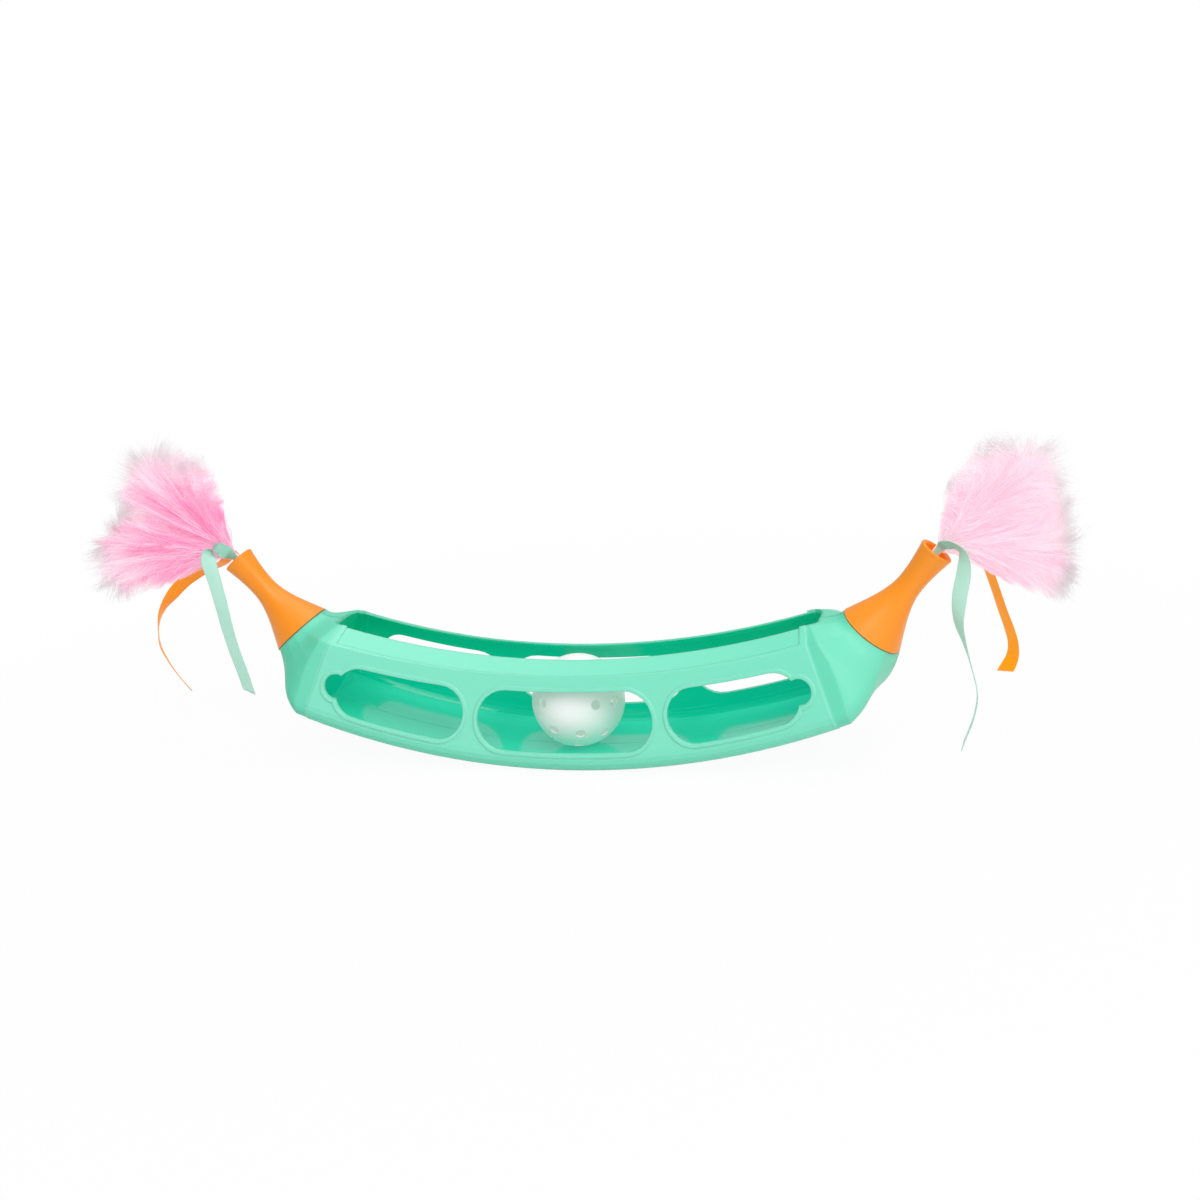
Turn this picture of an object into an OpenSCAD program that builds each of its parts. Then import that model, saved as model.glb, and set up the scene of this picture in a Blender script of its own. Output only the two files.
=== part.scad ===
// Cat ball track toy. Two moulded half shells make a curved, rocking track with windows and a
// top slot. A drilled ball rolls inside it. A trumpet cap at each end clamps the halves together
// and holds a knotted bundle of two plumes and two satin ribbons.

/* [Track] */
// Width over the lower edges of the side walls
body_w = 61.5; // [59:0.5:65]
// Radius of the belly that the toy rocks on
belly_r = 326; // [316:1:336]
// Height of the rim above the belly, at the middle
rim_h = 43.5; // [43:0.5:45.5]
// Radius of the arc that the rim follows, seen from the front
crown_r = 354; // [348:1:362]
// Wall thickness of the shells
wall = 1.6; // [1.5:0.1:2]
// Inward lean of the side walls, in degrees
wall_lean = 17.7; // [15:0.1:19]
// Rounding between the belly and the side walls
belly_round = 6.5; // [5:0.5:8]
// Fall of the sloping shoulder from the rim to the side wall
shoulder_drop = 4.8; // [4:0.2:5.6]
// Depth of the sunk strip along the shoulder
strip_depth = 0.7; // [0.4:0.1:0.9]
// Half angle of the sunk strip, in degrees
strip_deg = 16.2; // [15:0.1:16.6]
// Width of the shoulder left standing under the strip
strip_edge = 0.8; // [0.4:0.1:1.2]
// Width of the slot along the top
slot_w = 21.5; // [20:0.5:24]
// Length of the slot along the top
slot_len = 211; // [205:1:213]
// Corner radius of the slot
slot_corner = 5; // [2:0.5:6]
// Angle from the middle to each end of the side panels, in degrees
panel_deg = 20.7; // [20.4:0.1:21.2]
// Set-back of the end necks at the panels' edges
panel_step = 0.4; // [0.3:0.1:0.7]
// Angle that the band past each panel takes up, in degrees
band_deg = 1.3; // [1:0.1:1.6]
// Angle at which the neck's underside bulges past the collar, in degrees
chin_deg = 22; // [10:1:28]
// Depth of the flat foot ground into the belly
foot_depth = 0.3; // [0.2:0.05:0.5]

/* [Windows] */
// Height of the windows' lower edge above the belly
win_low_h = 9.5; // [8.5:0.5:10.5]
// Depth of the windows' upper edge below the rim
win_top_drop = 11; // [10:0.5:12.5]
// How much further the middle window reaches up and down
win_mid_more = 1; // [0:0.1:1.4]
// Half angle between the middle window's two end arcs, in degrees
win_mid_deg = 4.9; // [4:0.05:5]
// Angle of an outer window's near end arc, in degrees
win_near_deg = 10.4; // [10.3:0.1:11]
// Offset of the two middle posts to the right, in degrees
win_shift_deg = 0.25; // [0:0.05:0.3]
// Angle of an outer window's far end arc, in degrees
win_far_deg = 17.1; // [16.5:0.1:17.3]
// Radius of the round notch in the far end of an outer window
notch_r = 5.2; // [4:0.1:5.5]
// Width of the raised lip round each window
lip_w = 1.5; // [1:0.1:1.8]
// Height of the raised lip
lip_h = 0.4; // [0.2:0.1:0.6]

/* [Ball] */
// Diameter of the ball
ball_d = 40; // [38:0.5:40]
// Wall thickness of the ball
ball_wall = 1.2; // [1:0.1:1.6]
// Diameter of the holes in the ball
ball_hole_d = 4.2; // [3:0.1:5]
// Clearance under the ball
ball_gap = 0.2; // [0.15:0.05:0.4]

/* [End necks] */
// Distance from the end of the track to the middle of the collar
neck_len = 22.1; // [21:0.1:24]
// Length of the spigot that the cap pushes over
spigot_len = 6.5; // [5:0.5:7]
// Outer diameter of the spigot
spigot_d = 18.4; // [17:0.2:19]
// Height of the snap bead round the spigot
bead_h = 0.4; // [0.2:0.1:0.6]
// Width of the snap bead
bead_w = 1.2; // [0.8:0.1:1.6]
// Radial clearance between cap and spigot
fit_gap = 0.1; // [0.05:0.01:0.2]
// Diameter of the locating pegs
peg_d = 3; // [2.4:0.2:3.4]
// Diameter of the bosses that hold the pegs
boss_d = 6.4; // [6:0.2:7.4]
// Length of the pegs past the seam
peg_len = 4; // [3:0.5:5]
// Clearance round and past the pegs
peg_gap = 0.05; // [0.03:0.01:0.1]
// Distance of the pegs behind the collar
peg_back = 8; // [7:0.5:9]
// Thickness of the tongue along the seam of the belly
tongue_t = 0.7; // [0.5:0.1:0.8]
// Height of the tongue
tongue_h = 0.9; // [0.6:0.1:1.2]

/* [Caps] */
// Diameter of the cap at its base
cap_base_d = 27.8; // [26:0.2:29]
// Length of the cap
cap_len = 42.7; // [40:0.1:46]
// Tilt of the caps above level, in degrees
cap_tilt = 51.2; // [48:0.1:54]
// Diameter of the cap's waist
waist_d = 10.4; // [9.8:0.1:11.4]
// Distance of the waist from the base
waist_at = 26; // [25:0.5:28]
// Diameter of the cap's mouth
mouth_d = 14.2; // [13.6:0.2:15.6]
// Wall thickness of the caps
cap_wall = 1.8; // [1.6:0.1:2]
// Chamfer round the base that shows as a dark line
cap_chamfer = 0.35; // [0.2:0.05:0.5]

/* [Plumes and ribbons] */
// Distance of the knot's middle from the cap's base
knot_at = 18.5; // [17.5:0.5:19.5]
// Gap between the knot and the cap
knot_gap = 0.3; // [0.2:0.05:0.4]
// Diameter of a plume's quill
quill_d = 1.5; // [1.2:0.1:1.7]
// Length of the left upper plume past the mouth
left_upper_len = 66; // [58:1:70]
// Length of the left lower plume past the mouth
left_lower_len = 72; // [64:1:76]
// Length of the right upper plume past the mouth
right_upper_len = 58; // [52:1:64]
// Length of the right lower plume past the mouth
right_lower_len = 54; // [46:1:58]
// Width of the left upper plume
left_upper_w = 40; // [32:1:42]
// Width of the left lower plume
left_lower_w = 34; // [28:1:36]
// Width of the right upper plume
right_upper_w = 34; // [28:1:35]
// Width of the right lower plume
right_lower_w = 32; // [28:1:33]
// Thickness of the plumes
plume_t = 22; // [18:1:24]
// Width of the ribbons
ribbon_w = 6.5; // [5:0.5:7]
// Thickness of the ribbons, doubled by their hem
ribbon_t = 0.5; // [0.4:0.1:0.7]

/* [Hidden] */
$fn = 96;
mint = [0.51, 0.91, 0.79];
orange = [1, 0.58, 0.18];
pink = [1, 0.76, 0.87];
// Overrun of every cut past the face that it leaves
over = wall / 2;
// Fine steps of the large arcs, seen only in previews
arc_fn = 360;
// Heights above the belly of the arcs' centres
crown_z = rim_h + crown_r;
centre_gap = crown_z - belly_r;
// Top of the shoulder before its strip is sunk
roof_r = crown_r - strip_depth;
step_y = wall_y(rim_h - shoulder_drop, 0);
shoulder_deg = atan(shoulder_drop / (step_y - slot_w / 2));
round_steps = 6;
// Windows lie between these two arcs
win_low_r = belly_r - win_low_h;
win_top_r = crown_r + win_top_drop;
// Straight pieces along a window's long edges and round its ends
edge_steps = 10;
end_steps = 12;
// The end neck turns from the track's own angle to the cap's tilt
collar_r = cap_base_d / 2;
neck_deg = (panel_deg + cap_tilt) / 2;
end_mid_r = belly_r - roof_h(roof_r, panel_deg) / 2;
collar = [end_mid_r * sin(panel_deg) + neck_len * cos(neck_deg),
  belly_r - end_mid_r * cos(panel_deg) + neck_len * sin(neck_deg)];
// How strongly the neck's skin leaves the band and enters the collar, in shares of its length
neck_lead_share = 1.0;
neck_tail_share = 0.9;
// How much more the belly's side has of both
belly_lead_share = 0.55;
belly_tail_share = 0.3;
// Share of the panel's step that the belly lacks
belly_flush_share = 0.75;
// How far the skin turns at the band's end from the track's arc to the straight way to the collar,
// and how much more it does at the belly and at the top
chord_share = 0.6;
chord_low_share = -0.25;
chord_high_share = 0.6;
neck_steps = 16;
// How far each neck starts inside the end of the track, in degrees
neck_root_deg = 0.6;
spigot_r = spigot_d / 2;
spigot_bore_r = spigot_r - wall;
bead_at = spigot_len * 0.62;
// The ball rests in the middle of the track
ball_r = ball_d / 2;
ball_z = wall + ball_gap + ball_r;
// Lean of the ball's weld axis up and to the right of the front, in degrees
ball_lean_deg = 6.4;
ball_turn_deg = 2.7;
// Rings of holes: angle from the weld axis, and places round it, in degrees
hole_rings_deg = [[36, [8, 68, 118, 168, 232, 291]], [64, [4, 49, 94, 139, 184, 229, 274, 317]]];
back_turn_deg = 20;
// Slopes of the cap's outline at its base and mouth, as shares
base_flare_share = 0.45;
mouth_flare_share = 0.2;
cap_steps = 16;
// The knot fills the throat of the cap up to its gap
knot_r = min([for (i = [0 : cap_steps * 2]) let (s = waist_at * i / cap_steps / 2)
  norm([s - knot_at, cap_r(s) - cap_wall])]) - knot_gap;
knot_top = knot_r * 0.6;
quill_gap = quill_d * 0.62;
// Outline of a plume: share of its length, of its half width and of its half thickness
plume_shares = [[0, 0.04, 0.06], [0.08, 0.07, 0.12], [0.2, 0.2, 0.28], [0.36, 0.44, 0.55],
  [0.52, 0.74, 0.8], [0.68, 0.94, 0.95], [0.82, 1, 1], [0.92, 0.86, 0.8], [0.98, 0.56, 0.5],
  [1, 0.2, 0.2]];
plume_sides = 16;
plume_steps = 50;
// Directions of the plumes above level, in degrees
left_upper_deg = 43;
left_lower_deg = -6;
right_upper_deg = 42;
right_lower_deg = -10;
// How fast a plume turns from the cap's tilt to its own direction
plume_turn_power = 9;
// Ribbon routes: places from the middle of the mouth, outwards, back and up, and the turn of the
// flat side about the route, in degrees
left_mint_route = [[3.2, -4.2, 3.8, 55], [7.5, -6, 6.2, 35], [10.5, -8, 5.6, 38], [11, -9, 1.2, 52],
  [10, -9.5, -6.8, 70], [8.5, -9.5, -17.8, 80], [6.8, -9, -29.8, 86], [4.3, -8.5, -40.8, 86],
  [1.5, -8, -50.8, 83], [-1, -8, -59.3, 80]];
left_orange_route = [[4.9, 4.3, 1.5, 38], [11, 6, -3.2, 25], [17, 7.2, -5.4, 30], [24.5, 7.4, -8, 42],
  [33, 6.8, -12.4, 52], [39.5, 6.2, -18, 44], [46.5, 6, -26, 20], [50, 6, -34.5, -12],
  [50.5, 6, -43, -24], [47.5, 6, -51, -14], [43, 5.5, -58, -12], [37.5, 5, -64.5, -10]];
right_mint_route = [[3.6, -4.4, 3.6, 55], [8, -6, 4, 32], [11, -7.5, 0.6, 40], [11, -8, -7, 60],
  [8.5, -8, -17, 64], [8, -8, -27, 34], [10, -7.5, -36, 20], [12.5, -7, -46, 17],
  [14.5, -6.5, -57, 16], [13, -6, -67, 14], [9.5, -6, -76.5, 14], [8, -6, -80.6, 16]];
right_orange_route = [[5, 3.4, 2.4, 48], [10.5, 6.6, 1.8, 20], [15, 8.6, -2.4, 20],
  [18.5, 10, -10, 42], [21.5, 10, -19, 60], [24, 10, -27.4, 75], [26.5, 10, -35, 80],
  [28, 9.5, -41.4, 84], [27.5, 9.5, -47.4, 80], [25, 9, -52.4, 75]];
// Share of the full width that the ribbons have inside the cap
throat_share = 0.38;
ribbon_off = quill_d / 2 + ribbon_t;

// Half width of a side wall at a height above the belly, drawn in by the inset
function wall_y(h, inset) =
  body_w / 2 + (win_low_h - h) * tan(wall_lean) - inset / cos(wall_lean);

// Distance from the belly's centre of a point on the crown arc of radius r
function crown_from_belly(r, deg) =
  sqrt(r * r - pow(centre_gap * sin(deg), 2)) - centre_gap * cos(deg);
function roof_h(r, deg) = belly_r - crown_from_belly(r, deg);

// Quarter-round between the belly and a side wall, as heights and half widths
function belly_arc(inset) = [for (i = [0 : round_steps])
  let (a = i * (90 + wall_lean) / round_steps - 90, r = belly_round - inset)
  [belly_round + r * sin(a), wall_y(belly_round, belly_round) + r * cos(a)]];

// Half section across the track, from the belly's middle to the roof's middle
function half_section(deg, inset) =
  let (top = roof_h(roof_r + inset, deg),
    ridge_y = slot_w / 2 - inset * tan(shoulder_deg / 2),
    arc = belly_arc(inset),
    fall = tan(shoulder_deg),
    edge_y = (wall_y(top + ridge_y * fall, inset))
      / (1 - fall * tan(wall_lean)),
    edge_h = top - (edge_y - ridge_y) * fall,
    low = arc[round_steps])
  concat([[inset, 0]], arc,
    [for (t = [1 / 3, 2 / 3]) low + t * ([edge_h, edge_y] - low)],
    [[edge_h, edge_y], [(edge_h + top) / 2, (edge_y + ridge_y) / 2], [top, ridge_y], [top, 0]]);

function hermite(a, b, ta, tb, t) = a * (2 * t * t * t - 3 * t * t + 1)
  + ta * (t * t * t - 2 * t * t + t) + b * (3 * t * t - 2 * t * t * t) + tb * (t * t * t - t * t);

// Rings of a neck's skin: at its sides the track runs on as a band past the panel's edge. From
// there half sections of the track turn into half circles at the collar, which the skin enters from
// outside, but for its top.
function neck_rings(inset, end_r, back) =
  let (mid = roof_h(roof_r, panel_deg) / 2,
    out = [cos(cap_tilt), 0, sin(cap_tilt)],
    up = [-sin(cap_tilt), 0, cos(cap_tilt)],
    end = [collar[0], 0, collar[1]] - back * out)
  concat([neck_ring(panel_deg - neck_root_deg, 0, inset)],
    [for (i = [0 : neck_steps])
      let (ring = neck_ring(panel_deg, band_deg, inset), half = half_section(panel_deg, inset))
      [for (j = [0 : len(half) - 1])
        let (turn = atan2(half[j][1], half[j][0] - mid),
          radial = cos(turn) * up - sin(turn) * [0, 1, 0],
          b = end + end_r * radial,
          reach = norm(b - ring[j]),
          low = pow(sin(turn / 2), 6),
          high = pow(cos(turn / 2), 4),
          chin = chin_deg * (1 - high),
          along = [cos(panel_deg), 0, sin(panel_deg)],
          lead = along + (chord_share + low * chord_low_share + high * chord_high_share)
            * ((b - ring[j]) / reach - along))
        hermite(ring[j], b, (neck_lead_share + low * belly_lead_share) * reach * lead / norm(lead),
          (neck_tail_share + low * belly_tail_share) * reach
            * (cos(chin) * out - sin(chin) * radial), i / neck_steps)]]);

// Half section at an angle along the track, with its sides a band further on and its belly almost
// flush with the track's own
function neck_ring(deg, band, inset) =
  let (mid = roof_h(roof_r, panel_deg) / 2)
  [for (p = half_section(deg, inset))
    let (turn = atan2(p[1], p[0] - mid),
      at = deg + band * pow(sin(turn), 2),
      r = belly_r - p[0] + belly_flush_share * panel_step * pow(sin(turn / 2), 4))
    [r * sin(at), -p[1], belly_r - r * cos(at)]];

// Closed skin over rings of equal point counts
module skin(rings) {
  sides = len(rings[0]);
  count = len(rings);
  points = [for (ring = rings) for (p = ring) p];
  walls = [for (i = [0 : count - 2]) for (j = [0 : sides - 1])
    let (k = (j + 1) % sides, a = i * sides, b = a + sides)
    for (f = [[a + j, b + k, b + j], [a + j, a + k, b + k]]) f];
  first = [for (j = [sides - 1 : -1 : 0]) j];
  last = [for (j = [0 : sides - 1]) (count - 1) * sides + j];
  polyhedron(points = points, faces = concat(walls, [first, last]), convexity = 6);
}

module sweep_belly(deg) {
  translate([0, 0, belly_r]) rotate([90, 0, 0]) rotate([0, 0, -90 - deg])
    rotate_extrude(angle = 2 * deg, $fn = arc_fn) children();
}

module sweep_crown(deg) {
  translate([0, 0, crown_z]) rotate([90, 0, 0]) rotate([0, 0, -90 - deg])
    rotate_extrude(angle = 2 * deg, $fn = arc_fn) children();
}

// Front half of the track's solid, drawn in by the inset on every side but the seam
module track_solid(inset) {
  top_h = rim_h + shoulder_drop;
  ridge_y = slot_w / 2 - inset * tan(shoulder_deg / 2);
  far_y = body_w * 0.6;
  low_r = crown_z + belly_round;
  intersection() {
    sweep_belly(panel_deg) polygon(concat([[belly_r - inset, 0]],
      [for (p = belly_arc(inset)) [belly_r - p[0], p[1]]],
      [[belly_r - top_h, wall_y(top_h, inset)], [belly_r - top_h, 0]]));
    sweep_crown(panel_deg) polygon([[roof_r + inset, 0], [roof_r + inset, ridge_y],
      [roof_r + inset + (far_y - ridge_y) * tan(shoulder_deg), far_y], [low_r, far_y], [low_r, 0]]);
  }
}

// Both ends of something drawn at the right end
module each_end() {
  children();
  mirror([1, 0, 0]) children();
}

// Place along a cap: the origin is the middle of the collar and +Z runs out to the mouth
module on_collar() {
  translate([collar[0], 0, collar[1]]) rotate([0, 90 - cap_tilt, 0]) children();
}

// End arc of a window that touches both long edges: its middle, its radius, its distance from the
// belly's centre, and its angle there
function window_end(deg, low_r, top_r) =
  let (sum = low_r + top_r,
    r = (sum * sum - centre_gap * centre_gap) / 2 / (sum + centre_gap * cos(deg)))
  [r * sin(deg), belly_r - r * cos(deg), low_r - r, r, deg];

// Outline of a window: along the low edge, round one end, back along the top edge, round the other
module window_shape(from_deg, to_deg, more, grow, notch) {
  low_r = win_low_r + more / 2 + grow;
  top_r = win_top_r - more - grow;
  a = window_end(from_deg, low_r - grow, top_r + grow);
  b = window_end(to_deg, low_r - grow, top_r + grow);
  top_a = atan2(crown_z - a[1], -a[0]);
  top_b = atan2(crown_z - b[1], -b[0]);
  polygon(concat(
    [for (i = [0 : edge_steps]) let (t = from_deg + (to_deg - from_deg) * i / edge_steps)
      [low_r * sin(t), belly_r - low_r * cos(t)]],
    [for (i = [1 : end_steps]) let (t = to_deg - 90 + (top_b - to_deg + 90) * i / end_steps)
      [b[0] + (b[2] + grow) * cos(t), b[1] + (b[2] + grow) * sin(t)]],
    [for (i = [1 : edge_steps]) let (t = top_b + (top_a - top_b) * i / edge_steps)
      [-top_r * cos(t), crown_z - top_r * sin(t)]],
    [for (i = [1 : end_steps - 1]) let (t = top_a + (from_deg + 270 - top_a) * i / end_steps)
      [a[0] + (a[2] + grow) * cos(t), a[1] + (a[2] + grow) * sin(t)]]));
  if (notch) {
    deg = b[4] + asin(b[2] / b[3]);
    translate([b[3] * sin(deg), belly_r - b[3] * cos(deg)]) circle(r = notch_r + grow);
  }
}

// The three windows of one side wall, as prisms that start behind the slot's edge
module windows(grow) {
  translate([0, -slot_w / 2, 0]) rotate([90, 0, 0]) linear_extrude(height = body_w / 2) {
    window_shape(win_shift_deg - win_mid_deg, win_shift_deg + win_mid_deg, win_mid_more, grow, false);
    window_shape(win_near_deg + win_shift_deg, win_far_deg, 0, grow, true);
    mirror([1, 0]) window_shape(win_near_deg - win_shift_deg, win_far_deg, 0, grow, true);
  }
}

module top_slot() {
  x = slot_len / 2 - slot_corner;
  y = slot_w / 2 - slot_corner;
  translate([0, 0, rim_h / 2]) linear_extrude(height = rim_h)
    polygon([for (c = [[x, y, 0], [-x, y, 90], [-x, -y, 180], [x, -y, 270]]) for (t = [0 : 18 : 90])
      [c[0] + slot_corner * cos(c[2] + t), c[1] + slot_corner * sin(c[2] + t)]]);
}

// The strip sunk into the shoulder beside the slot
module shoulder_strip() {
  fall = tan(shoulder_deg);
  end_y = step_y - strip_edge;
  sweep_crown(strip_deg) polygon([[roof_r - over, 0],
    [crown_r, 0], [crown_r, slot_w / 2], [crown_r + (end_y - slot_w / 2) * fall, end_y],
    [roof_r - over, end_y]]);
}

// Half tube of the spigot with its snap bead
module spigot() {
  on_collar() rotate([0, 0, 180]) rotate_extrude(angle = 180) polygon([
    [spigot_bore_r, -wall / 2], [spigot_r, -wall / 2],
    [spigot_r, bead_at - bead_w / 2], [spigot_r + bead_h, bead_at - bead_w / 6],
    [spigot_r + bead_h, bead_at + bead_w / 6], [spigot_r, bead_at + bead_w / 2],
    [spigot_r, spigot_len], [spigot_bore_r, spigot_len]]);
}

module peg_boss() {
  at = collar - peg_back * [cos(cap_tilt), sin(cap_tilt)];
  translate([at[0], 0, at[1]]) rotate([90, 0, 0]) children();
}

// One half shell on the front side of the seam, with nothing yet to locate it
module half_shell() {
  difference() {
    union() {
      track_solid(0);
      intersection() {
        track_solid(-lip_h);
        windows(lip_w);
      }
      each_end() skin(neck_rings(panel_step, collar_r, 0));
      each_end() spigot();
    }
    track_solid(wall);
    each_end() skin(neck_rings(wall + panel_step, collar_r - wall, wall));
    each_end() on_collar() translate([0, 0, -2 * wall])
      cylinder(r = spigot_bore_r, h = spigot_len + 3 * wall);
    top_slot();
    windows(0);
    shoulder_strip();
    translate([-body_w, -body_w, -belly_round]) cube([2 * body_w, 2 * body_w, belly_round + foot_depth]);
  }
  each_end() intersection() {
    peg_boss() cylinder(d = boss_d, h = body_w / 2);
    skin(neck_rings(panel_step + wall / 2, collar_r - wall / 2, 0));
  }
}

module front_shell() {
  color(mint) translate([0, 0, -foot_depth]) {
    half_shell();
    each_end() peg_boss() translate([0, 0, -peg_len]) cylinder(d = peg_d, h = 2 * peg_len);
    sweep_belly(panel_deg - neck_root_deg) polygon([
      [belly_r - wall / 2 - tongue_t / 2, -tongue_h], [belly_r - wall / 2 + tongue_t / 2, -tongue_h],
      [belly_r - wall / 2 + tongue_t / 2, over], [belly_r - wall / 2 - tongue_t / 2, over]]);
  }
}

module back_shell() {
  groove = tongue_t / 2 + peg_gap;
  color(mint) translate([0, 0, -foot_depth]) mirror([0, 1, 0]) difference() {
    half_shell();
    each_end() peg_boss() translate([0, 0, -over])
      cylinder(d = peg_d + 2 * peg_gap, h = over + peg_len + peg_gap);
    sweep_belly(panel_deg - neck_root_deg / 2) polygon([
      [belly_r - wall / 2 - groove, -over], [belly_r - wall / 2 + groove, -over],
      [belly_r - wall / 2 + groove, tongue_h + peg_gap],
      [belly_r - wall / 2 - groove, tongue_h + peg_gap]]);
  }
}

// Outer radius of a cap at a distance from its base
function cap_r(s) = s < waist_at
  ? hermite(cap_base_d / 2, waist_d / 2, -base_flare_share * waist_at, 0, s / waist_at)
  : hermite(waist_d / 2, mouth_d / 2, 0, mouth_flare_share * (cap_len - waist_at),
    (s - waist_at) / (cap_len - waist_at));

module cap() {
  socket_r = spigot_r + fit_gap;
  socket_h = spigot_len + fit_gap * 3;
  groove_r = socket_r + bead_h;
  lip = cap_wall / 2;
  outer = [for (i = [1 : cap_steps * 2]) let (s = (cap_len - lip) * i / cap_steps / 2) [cap_r(s), s]];
  mouth = [for (a = [30 : 30 : 150]) [cap_r(cap_len) - lip + lip * cos(a), cap_len - lip + lip * sin(a)]];
  inner = [for (i = [cap_steps * 2 : -1 : 1])
    let (s = socket_h + (cap_len - lip - socket_h) * i / cap_steps / 2) [cap_r(s) - cap_wall, s]];
  throat_r = min(cap_r(socket_h) - cap_wall, socket_r);
  on_collar() rotate_extrude() polygon(concat(
    [[cap_base_d / 2 - cap_chamfer, 0], [cap_r(cap_chamfer), cap_chamfer]], outer, mouth, inner,
    [[throat_r, socket_h], [socket_r, socket_h], [socket_r, bead_at + bead_w / 2 + fit_gap],
      [groove_r, bead_at + bead_w / 6 + fit_gap], [groove_r, bead_at - bead_w / 6 - fit_gap],
      [socket_r, bead_at - bead_w / 2 - fit_gap], [socket_r, 0]]));
}

module left_cap() {
  color(orange) translate([0, 0, -foot_depth]) mirror([1, 0, 0]) cap();
}

module right_cap() {
  color(orange) translate([0, 0, -foot_depth]) cap();
}

// Half of the ball about its own weld axis, which is +Z, with its rings of holes turned by an angle
module ball_half(turn) {
  drill = ball_wall + 2 * over;
  difference() {
    sphere(r = ball_r);
    sphere(r = ball_r - ball_wall);
    translate([-ball_d, -ball_d, -2 * ball_d]) cube(2 * ball_d);
    for (ring = hole_rings_deg) for (az = ring[1])
      rotate([0, 0, az + turn]) rotate([0, ring[0], 0]) translate([0, 0, ball_r - drill + over])
        cylinder(d = ball_hole_d, h = drill);
  }
}

// Place of the ball in the track, with its weld axis towards the front
module on_ball() {
  translate([0, 0, ball_z - foot_depth]) rotate([-ball_lean_deg, 0, ball_turn_deg]) rotate([90, 0, 0])
    children();
}

module ball_front_half() {
  color("white") on_ball() ball_half(0);
}

module ball_back_half() {
  color("whitesmoke") on_ball() rotate([180, 0, 0]) ball_half(back_turn_deg);
}

// Wound knot that carries a bundle: a ball with a flat top where quills and ribbons start
module knot() {
  on_collar() translate([0, 0, knot_at]) rotate_extrude() intersection() {
    circle(r = knot_r);
    translate([0, -knot_r]) square([knot_r, knot_r + knot_top]);
  }
}

module left_knot() {
  color(pink) translate([0, 0, -foot_depth]) mirror([1, 0, 0]) knot();
}

module right_knot() {
  color(pink) translate([0, 0, -foot_depth]) knot();
}

// Place on a cap's axis at a distance from its base
function on_axis(s) = [collar[0] + s * cos(cap_tilt), 0, collar[1] + s * sin(cap_tilt)];

// Direction of a plume at a share of its length: it turns from the cap's tilt to its own
function plume_dir(deg, t) = deg + (cap_tilt - deg) * pow(1 - t, plume_turn_power);

function plume_line(long, deg, from) = [for (i = 0, at = from; i <= plume_steps; i = i + 1,
  at = at + long / plume_steps
    * [cos(plume_dir(deg, i / plume_steps)), 0, sin(plume_dir(deg, i / plume_steps))]) at];

// Rings round a plume: its quill from the knot to the mouth, then its vane
function plume_rings(long, wide, deg, side) =
  let (up = side * quill_gap * [-sin(cap_tilt), 0, cos(cap_tilt)],
    line = plume_line(long, deg, on_axis(cap_len) + up),
    quill_r = quill_d / 2)
  concat([plume_ring(on_axis(knot_at + knot_top) + up, cap_tilt, quill_r, quill_r)],
    [for (s = plume_shares) plume_ring(line[round(s[0] * plume_steps)], plume_dir(deg, s[0]),
      max(quill_r, wide / 2 * s[1]), max(quill_r, plume_t / 2 * s[2]))]);

function plume_ring(at, deg, half_w, half_t) = [for (j = [0 : plume_sides - 1])
  let (a = 360 * j / plume_sides)
  at + half_w * cos(a) * [-sin(deg), 0, cos(deg)] + half_t * sin(a) * [0, 1, 0]];

module left_upper_plume() {
  color(pink) translate([0, 0, -foot_depth]) mirror([1, 0, 0])
    skin(plume_rings(left_upper_len, left_upper_w, left_upper_deg, 1));
}

module left_lower_plume() {
  color(pink) translate([0, 0, -foot_depth]) mirror([1, 0, 0])
    skin(plume_rings(left_lower_len, left_lower_w, left_lower_deg, -1));
}

module right_upper_plume() {
  color(pink) translate([0, 0, -foot_depth])
    skin(plume_rings(right_upper_len, right_upper_w, right_upper_deg, 1));
}

module right_lower_plume() {
  color(pink) translate([0, 0, -foot_depth])
    skin(plume_rings(right_lower_len, right_lower_w, right_lower_deg, -1));
}

// Flat strip along a route; it starts on the knot and is gathered narrow inside the cap
function ribbon_rings(route, side) =
  let (throat = [for (s = [knot_at + knot_top, waist_at, cap_len])
      concat(on_axis(s) + [0, side * ribbon_off, 0], [90])],
    all = concat(throat, [for (p = route) concat(on_axis(cap_len) + [p[0], p[1], p[2]], [p[3]])]),
    at = [for (p = all) [p[0], p[1], p[2]]],
    last = len(all) - 1)
  [for (i = [0 : last])
    let (way = at[min(i + 1, last)] - at[max(i - 1, 0)],
      run = way / norm(way),
      across = cross([0, 1, 0], run),
      flat = across / norm(across),
      along = cos(all[i][3]) * cross(run, flat) + sin(all[i][3]) * flat,
      half_w = ribbon_w / 2 * (i < len(throat) ? throat_share : 1) * along,
      half_t = ribbon_t / 2 * cross(run, along))
    [at[i] + half_w + half_t, at[i] + half_w - half_t, at[i] - half_w - half_t,
      at[i] - half_w + half_t]];

module ribbon(route, side) {
  translate([0, 0, -foot_depth]) skin(ribbon_rings(route, side));
}

module left_mint_ribbon() {
  color(mint) mirror([1, 0, 0]) ribbon(left_mint_route, -1);
}

module left_orange_ribbon() {
  color(orange) mirror([1, 0, 0]) ribbon(left_orange_route, 1);
}

module right_mint_ribbon() {
  color(mint) ribbon(right_mint_route, -1);
}

module right_orange_ribbon() {
  color(orange) ribbon(right_orange_route, 1);
}

front_shell();
back_shell();
left_cap();
right_cap();
ball_front_half();
ball_back_half();
left_knot();
right_knot();
left_upper_plume();
left_lower_plume();
right_upper_plume();
right_lower_plume();
left_mint_ribbon();
left_orange_ribbon();
right_mint_ribbon();
right_orange_ribbon();
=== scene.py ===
import math

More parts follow.
